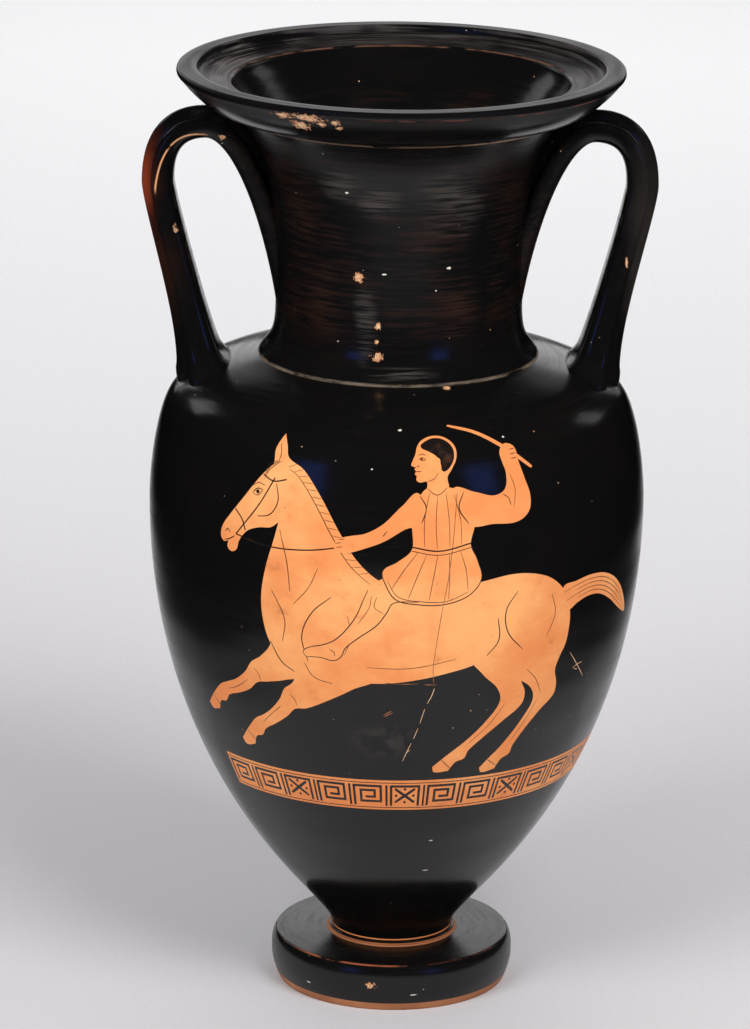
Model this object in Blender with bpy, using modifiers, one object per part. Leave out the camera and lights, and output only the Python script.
"""A neck amphora: one fired vessel, turned and hollow, with two ribbed strap handles.

Metres, +Z up. The vessel stands on the origin and its handles lie along X.
"""

import math

import bmesh
import bpy
from mathutils import Vector

# Heights above the floor
TOTAL_HEIGHT = 0.3350
NECK_JOINT_HEIGHT = 0.2326
BELLY_HEIGHT = 0.1795
STEM_HEIGHT = 0.0189
FOOT_HEIGHT = 0.0171

# Heights of single stretches
MOUTH_HEIGHT = 0.0150
NECK_WAIST_RISE = 0.0190
SHOULDER_DROP = 0.0156

NECK_TOP_HEIGHT = TOTAL_HEIGHT - MOUTH_HEIGHT
NECK_WAIST_HEIGHT = NECK_JOINT_HEIGHT + NECK_WAIST_RISE
SHOULDER_TURN_HEIGHT = NECK_JOINT_HEIGHT - SHOULDER_DROP

# Outer radii
FOOT_RADIUS = 0.0434
FOOT_TOP_RADIUS = 0.0415
FOOT_BASE_RADIUS = 0.0409
STEM_RADIUS = 0.0217
BELLY_RADIUS = 0.0877
SHOULDER_TURN_RADIUS = 0.0810
NECK_JOINT_RADIUS = 0.0491
NECK_WAIST_RADIUS = 0.0434
NECK_TOP_RADIUS = 0.0590
LIP_RADIUS = 0.0783

# Foot: a disc with a bulging side, a ring where the stem joins it and a hollow underside
FOOT_BULGE_HEIGHT = 0.0095
FOOT_TOP_RISE = 0.0004
STEM_RING_RADIUS = 0.0226
REST_RING_WIDTH = 0.0085
RECESS_DEPTH = 0.0080

# Body: the stem flares out at a set height and slope
STEM_FLARE_RADIUS = 0.0301
STEM_FLARE_HEIGHT = 0.0323
STEM_FLARE_SLOPE = 49.5
SHOULDER_TURN_SLOPE = 120.0
SHOULDER_TOP_SLOPE = 163.0
NECK_GROOVE_DEPTH = 0.0007

# Mouth: a rolled echinus under a flat-topped lip, with a channel inside the lip
LIP_HEIGHT = 0.0029
LIP_BAND_WIDTH = 0.0060
LIP_ROUNDING = 0.0009
ROLL_OVERHANG = 0.0013
ROLL_GROOVE_RISE = 0.0004
CHANNEL_DEPTH = 0.0038
THROAT_RADIUS = 0.0596
THROAT_DROP = 0.0051

# Walls
BODY_WALL = 0.0048
NECK_WALL = 0.0045
FLOOR_HEIGHT = 0.0330
INNER_CORNER_INSET = 0.0027

# Handles: a strap with a broad middle rib between two side ribs
HANDLE_WIDTH = 0.0204
HANDLE_THICKNESS = 0.0114
MIDDLE_RIB_WIDTH = 0.0092
SIDE_RIB_DROP = 0.0033
RIB_GROOVE_DEPTH = 0.0007
HANDLE_REACH = 0.0847
ARCH_TOP_INSET = 0.0169
ARCH_TOP_DROP = 0.0050
BEND_DROP = 0.0216
ROOT_RADIUS = 0.0681
ROOT_DEPTH = 0.0100
ROOT_FLARE = 0.55
ROOT_FLARE_LENGTH = 0.0150
STRAND_END_RISE = 0.0134
STRAND_END_DEPTH = 0.0065
ARCH_SLIMNESS = 0.93

# Fineness of the facets
TURN_STEPS = 44
CURVE_STEPS = 6
SHORT_CURVE_STEPS = 3
HANDLE_STEPS = 8
MERGE_DISTANCE = 0.00002
CUTTER_MARGIN = 0.0200

UP = 90.0
DOWN = 270.0


def direction(degrees):
    """Unit vector in the profile plane, 0 pointing away from the axis and 90 pointing up."""
    angle = math.radians(degrees)
    return Vector((math.cos(angle), math.sin(angle)))


def bend(start, start_slope, start_pull, end, end_slope, end_pull, steps):
    """Points of a smooth curve that leaves start and reaches end in the given slopes.

    A pull is the share of the distance between the ends over which a slope is held.
    The start is left out, so that curves can follow one another.
    """
    first = Vector(start)
    last = Vector(end)
    length = (last - first).length
    first_handle = first + direction(start_slope) * start_pull * length
    last_handle = last - direction(end_slope) * end_pull * length
    points = []
    for step in range(1, steps + 1):
        t = step / steps
        s = 1.0 - t
        points.append(
            first * s**3 + first_handle * 3 * s * s * t + last_handle * 3 * s * t * t + last * t**3
        )
    return points


def mouth_profile():
    """From the throat's edge over the lip to the groove at the top of the neck."""
    band_inner = LIP_RADIUS - LIP_ROUNDING - LIP_BAND_WIDTH
    lip_low = TOTAL_HEIGHT - LIP_HEIGHT
    throat = Vector((THROAT_RADIUS, TOTAL_HEIGHT - THROAT_DROP))
    channel = Vector((band_inner - CHANNEL_DEPTH * 0.5, TOTAL_HEIGHT - CHANNEL_DEPTH))
    points = [throat]
    points += bend(throat, 8.0, 0.4, channel, 12.0, 0.3, 2)
    points += bend(channel, 25.0, 0.4, (band_inner, TOTAL_HEIGHT), 80.0, 0.4, 2)
    points.append(Vector((LIP_RADIUS - LIP_ROUNDING, TOTAL_HEIGHT)))
    widest = Vector((LIP_RADIUS, TOTAL_HEIGHT - LIP_HEIGHT * 0.5))
    points += bend(points[-1], 330.0, 0.35, widest, DOWN, 0.35, 2)
    lip_edge = Vector((LIP_RADIUS - LIP_ROUNDING, lip_low))
    points += bend(widest, DOWN, 0.35, lip_edge, 230.0, 0.35, 1)
    roll = Vector((NECK_TOP_RADIUS + ROLL_OVERHANG, NECK_TOP_HEIGHT))
    points += bend(lip_edge, 232.0, 0.35, roll, 186.0, 0.3, 4)
    points.append(Vector((NECK_TOP_RADIUS, NECK_TOP_HEIGHT + ROLL_GROOVE_RISE)))
    return points


def neck_profile():
    """From the groove under the mouth down to the neck's joint with the shoulder."""
    top = (NECK_TOP_RADIUS, NECK_TOP_HEIGHT + ROLL_GROOVE_RISE)
    waist = (NECK_WAIST_RADIUS, NECK_WAIST_HEIGHT)
    joint = (NECK_JOINT_RADIUS, NECK_JOINT_HEIGHT + NECK_GROOVE_DEPTH)
    points = bend(top, 233.0, 0.21, waist, DOWN, 0.77, CURVE_STEPS)
    points += bend(waist, DOWN, 0.70, joint, 300.0, 0.35, CURVE_STEPS - 2)
    return points


def body_profile():
    """From the groove at the neck's joint down to the stem's narrowest point."""
    groove = Vector((NECK_JOINT_RADIUS, NECK_JOINT_HEIGHT))
    turn = (SHOULDER_TURN_RADIUS, SHOULDER_TURN_HEIGHT)
    belly = (BELLY_RADIUS, BELLY_HEIGHT)
    flare = (STEM_FLARE_RADIUS, STEM_FLARE_HEIGHT)
    stem = (STEM_RADIUS, STEM_HEIGHT)
    outward = SHOULDER_TOP_SLOPE + 180.0
    points = [groove]
    points += bend(groove, outward, 0.30, turn, SHOULDER_TURN_SLOPE + 180.0, 0.35, CURVE_STEPS)
    points += bend(turn, SHOULDER_TURN_SLOPE + 180.0, 0.22, belly, DOWN, 0.30, SHORT_CURVE_STEPS)
    points += bend(belly, DOWN, 0.56, flare, STEM_FLARE_SLOPE + 180.0, 0.10, CURVE_STEPS + 2)
    points += bend(flare, STEM_FLARE_SLOPE + 180.0, 0.60, stem, DOWN, 0.25, SHORT_CURVE_STEPS)
    return points


def foot_profile():
    """From the ring at the stem over the foot's disc to the middle of its hollow underside."""
    ring_top = FOOT_HEIGHT + FOOT_TOP_RISE
    rest_inner = FOOT_BASE_RADIUS - REST_RING_WIDTH
    bulge = (FOOT_RADIUS, FOOT_BULGE_HEIGHT)
    points = [
        Vector((STEM_RING_RADIUS, (STEM_HEIGHT + ring_top) * 0.5)),
        Vector((STEM_RING_RADIUS, ring_top)),
        Vector((FOOT_TOP_RADIUS, FOOT_HEIGHT)),
    ]
    points += bend(points[-1], 300.0, 0.3, bulge, DOWN, 0.35, 3)
    points += bend(bulge, DOWN, 0.35, (FOOT_BASE_RADIUS, 0.0), 245.0, 0.3, SHORT_CURVE_STEPS)
    points.append(Vector((rest_inner, 0.0)))
    points += bend(points[-1], 120.0, 0.25, (0.0, RECESS_DEPTH), 180.0, 0.5, 2)
    return points


def outer_profile():
    """The whole vessel as a solid, from the middle of its top down to the middle of its underside."""
    top_centre = Vector((0.0, TOTAL_HEIGHT - THROAT_DROP - NECK_WALL * 0.2))
    return [top_centre] + mouth_profile() + neck_profile() + body_profile() + foot_profile()


def inset(points, wall):
    """The same outline moved inwards by the wall's thickness, square to the surface."""
    moved = []
    for index, point in enumerate(points):
        before = points[max(index - 1, 0)]
        after = points[min(index + 1, len(points) - 1)]
        along = (after - before).normalized()
        moved.append(point + Vector((along.y, -along.x)) * wall)
    return moved


def cavity_profile():
    """The hollow inside: the throat, the neck, the body and its floor."""
    throat = Vector((THROAT_RADIUS, TOTAL_HEIGHT - THROAT_DROP))
    neck_inside = inset(neck_profile()[:CURVE_STEPS], NECK_WALL)
    corner = Vector((NECK_JOINT_RADIUS - INNER_CORNER_INSET, NECK_JOINT_HEIGHT - BODY_WALL))
    points = [
        Vector((0.0, TOTAL_HEIGHT + CUTTER_MARGIN)),
        Vector((THROAT_RADIUS, TOTAL_HEIGHT + CUTTER_MARGIN)),
        throat,
    ]
    points += bend(throat, 250.0, 0.35, neck_inside[0], 236.0, 0.25, SHORT_CURVE_STEPS)
    points += neck_inside[1:]
    points += bend(points[-1], DOWN, 0.50, corner, 310.0, 0.30, SHORT_CURVE_STEPS)
    wall_inside = inset(body_profile(), BODY_WALL)
    shoulder = [point for point in wall_inside if corner.y > point.y >= BELLY_HEIGHT and point.x > corner.x]
    belly = [point for point in wall_inside if BELLY_HEIGHT > point.y > FLOOR_HEIGHT + BODY_WALL * 0.5]
    points += shoulder + belly
    points += bend(points[-1], 215.0, 0.25, (0.0, FLOOR_HEIGHT), 180.0, 0.6, 2)
    return points


def height_on_shoulder(radius):
    """Height of the vessel's shoulder at a given radius."""
    shoulder = [point for point in body_profile() if point.y > BELLY_HEIGHT]
    for inner, outer in zip(shoulder, shoulder[1:]):
        if inner.x <= radius <= outer.x:
            share = (radius - inner.x) / (outer.x - inner.x)
            return inner.y + (outer.y - inner.y) * share
    return shoulder[-1].y


def radius_on_neck(height):
    """Radius of the neck at a given height."""
    for upper, lower in zip(neck_profile(), neck_profile()[1:]):
        if upper.y >= height >= lower.y:
            share = (upper.y - height) / (upper.y - lower.y)
            return upper.x + (lower.x - upper.x) * share
    return NECK_JOINT_RADIUS


def handle_path():
    """Middle line of a handle: out of the shoulder, round the arch and down into the neck."""
    arch_top = NECK_TOP_HEIGHT - ARCH_TOP_DROP
    strand_end = NECK_JOINT_HEIGHT + STRAND_END_RISE
    root = Vector((ROOT_RADIUS, height_on_shoulder(ROOT_RADIUS) - ROOT_DEPTH))
    bulge = (HANDLE_REACH, arch_top - BEND_DROP)
    top = (HANDLE_REACH - ARCH_TOP_INSET, arch_top)
    end = (radius_on_neck(strand_end) - STRAND_END_DEPTH, strand_end)
    points = [root]
    points += bend(root, 85.0, 0.25, bulge, UP, 0.10, HANDLE_STEPS)
    points += bend(bulge, UP, 0.57, top, 180.0, 0.37, HANDLE_STEPS - 2)
    points += bend(top, 180.0, 0.22, end, 263.0, 0.31, HANDLE_STEPS)
    return points


def handle_scale(path, index):
    """How much the strap is swollen at one point of its path, against its nominal section."""
    run = sum((after - before).length for before, after in zip(path[:index], path[1 : index + 1]))
    swell = 1.0 + ROOT_FLARE * math.exp(-max(run - ROOT_DEPTH, 0.0) / ROOT_FLARE_LENGTH)
    top = HANDLE_STEPS * 2 - 2
    slim = min(max((index - HANDLE_STEPS) / (top - HANDLE_STEPS), 0.0), 1.0)
    return swell + (ARCH_SLIMNESS - 1.0) * slim


def strap_section():
    """Outline of the strap: a middle rib, a groove, a side rib and a rounded underside."""
    half_width = HANDLE_WIDTH * 0.5
    half_depth = HANDLE_THICKNESS * 0.5
    rib = MIDDLE_RIB_WIDTH * 0.5
    side_top = half_depth - SIDE_RIB_DROP
    groove = side_top - RIB_GROOVE_DEPTH
    side_middle = (rib + half_width) * 0.5
    half = [Vector((0.0, half_depth))]
    half += bend(half[0], 0.0, 0.35, (rib, groove), 295.0, 0.35, 3)
    half += bend(half[-1], 45.0, 0.2, (side_middle, side_top), 0.0, 0.3, 1)
    half += bend(half[-1], 0.0, 0.45, (half_width, 0.0), DOWN, 0.45, 2)
    half += bend(half[-1], DOWN, 0.45, (0.0, -half_depth), 180.0, 0.80, 3)
    other = [Vector((-point.x, point.y)) for point in reversed(half[1:-1])]
    return half + other


def new_collection(name):
    """A collection linked to the scene."""
    collection = bpy.data.collections.new(name)
    bpy.context.scene.collection.children.link(collection)
    return collection


def turned(name, profile, collection):
    """A solid turned about the Z axis from a profile that starts and ends on it."""
    mesh = bpy.data.meshes.new(name)
    shape = bmesh.new()
    verts = [shape.verts.new((point.x, 0.0, point.y)) for point in profile]
    for above, below in zip(verts, verts[1:]):
        shape.edges.new((above, below))
    shape.to_mesh(mesh)
    shape.free()
    turned_object = bpy.data.objects.new(name, mesh)
    collection.objects.link(turned_object)
    screw = turned_object.modifiers.new("Turn", "SCREW")
    screw.axis = "Z"
    screw.angle = math.tau
    screw.steps = TURN_STEPS
    screw.render_steps = TURN_STEPS
    screw.use_merge_vertices = True
    screw.merge_threshold = MERGE_DISTANCE
    screw.use_smooth_shade = True
    return turned_object


def outline_curve(name, points, closed, collection):
    """A straight-sided curve through its points, each a pair of a place and the radius there."""
    curve = bpy.data.curves.new(name, "CURVE")
    curve.dimensions = "3D"
    spline = curve.splines.new("POLY")
    spline.points.add(len(points) - 1)
    for target, (place, radius) in zip(spline.points, points):
        target.co = (*place, 1.0)
        target.radius = radius
    spline.use_cyclic_u = closed
    curve_object = bpy.data.objects.new(name, curve)
    collection.objects.link(curve_object)
    return curve_object


def handle(name, side, collection):
    """One strap handle as a closed mesh, on the side of +X (side 1) or of -X (side -1)."""
    section = outline_curve(
        name + "_section",
        [(Vector((point.x, -point.y, 0.0)), 1.0) for point in strap_section()],
        True,
        collection,
    )
    path = handle_path()
    guide = outline_curve(
        name + "_path",
        [
            (Vector((side * point.x, 0.0, point.y)), handle_scale(path, index))
            for index, point in enumerate(path)
        ],
        False,
        collection,
    )
    guide.data.bevel_mode = "OBJECT"
    guide.data.bevel_object = section
    guide.data.use_fill_caps = True
    bpy.context.view_layer.update()
    evaluated = guide.evaluated_get(bpy.context.evaluated_depsgraph_get())
    mesh = bpy.data.meshes.new_from_object(evaluated)
    mesh.name = name
    shape = bmesh.new()
    shape.from_mesh(mesh)
    bmesh.ops.remove_doubles(shape, verts=shape.verts, dist=MERGE_DISTANCE)
    bmesh.ops.recalc_face_normals(shape, faces=shape.faces)
    shape.to_mesh(mesh)
    shape.free()
    solid = bpy.data.objects.new(name, mesh)
    solid.matrix_world = guide.matrix_world
    collection.objects.link(solid)
    bpy.data.objects.remove(guide, do_unlink=True)
    bpy.data.objects.remove(section, do_unlink=True)
    return solid


def black_glaze():
    """Glossy black slip over fired clay."""
    material = bpy.data.materials.new("black_glaze")
    material.use_nodes = True
    shader = material.node_tree.nodes["Principled BSDF"]
    shader.inputs["Base Color"].default_value = (0.012, 0.011, 0.011, 1.0)
    shader.inputs["Roughness"].default_value = 0.22
    shader.inputs["Metallic"].default_value = 0.0
    return material


def combine(target, tool, operation):
    """Joins a tool to the target or cuts it away, and keeps the tool as a guide."""
    modifier = target.modifiers.new(tool.name, "BOOLEAN")
    modifier.operation = operation
    modifier.solver = "EXACT"
    modifier.object = tool
    tool.hide_render = True
    tool.display_type = "WIRE"


def main():
    """Builds the amphora from nothing."""
    for old in list(bpy.data.objects):
        bpy.data.objects.remove(old, do_unlink=True)
    parts = new_collection("neck_amphora")
    cutters = new_collection("cutters")
    amphora = turned("amphora", outer_profile(), parts)
    amphora.data.materials.append(black_glaze())
    combine(amphora, handle("handle_right", 1, cutters), "UNION")
    combine(amphora, handle("handle_left", -1, cutters), "UNION")
    combine(amphora, turned("cavity", cavity_profile(), cutters), "DIFFERENCE")


main()
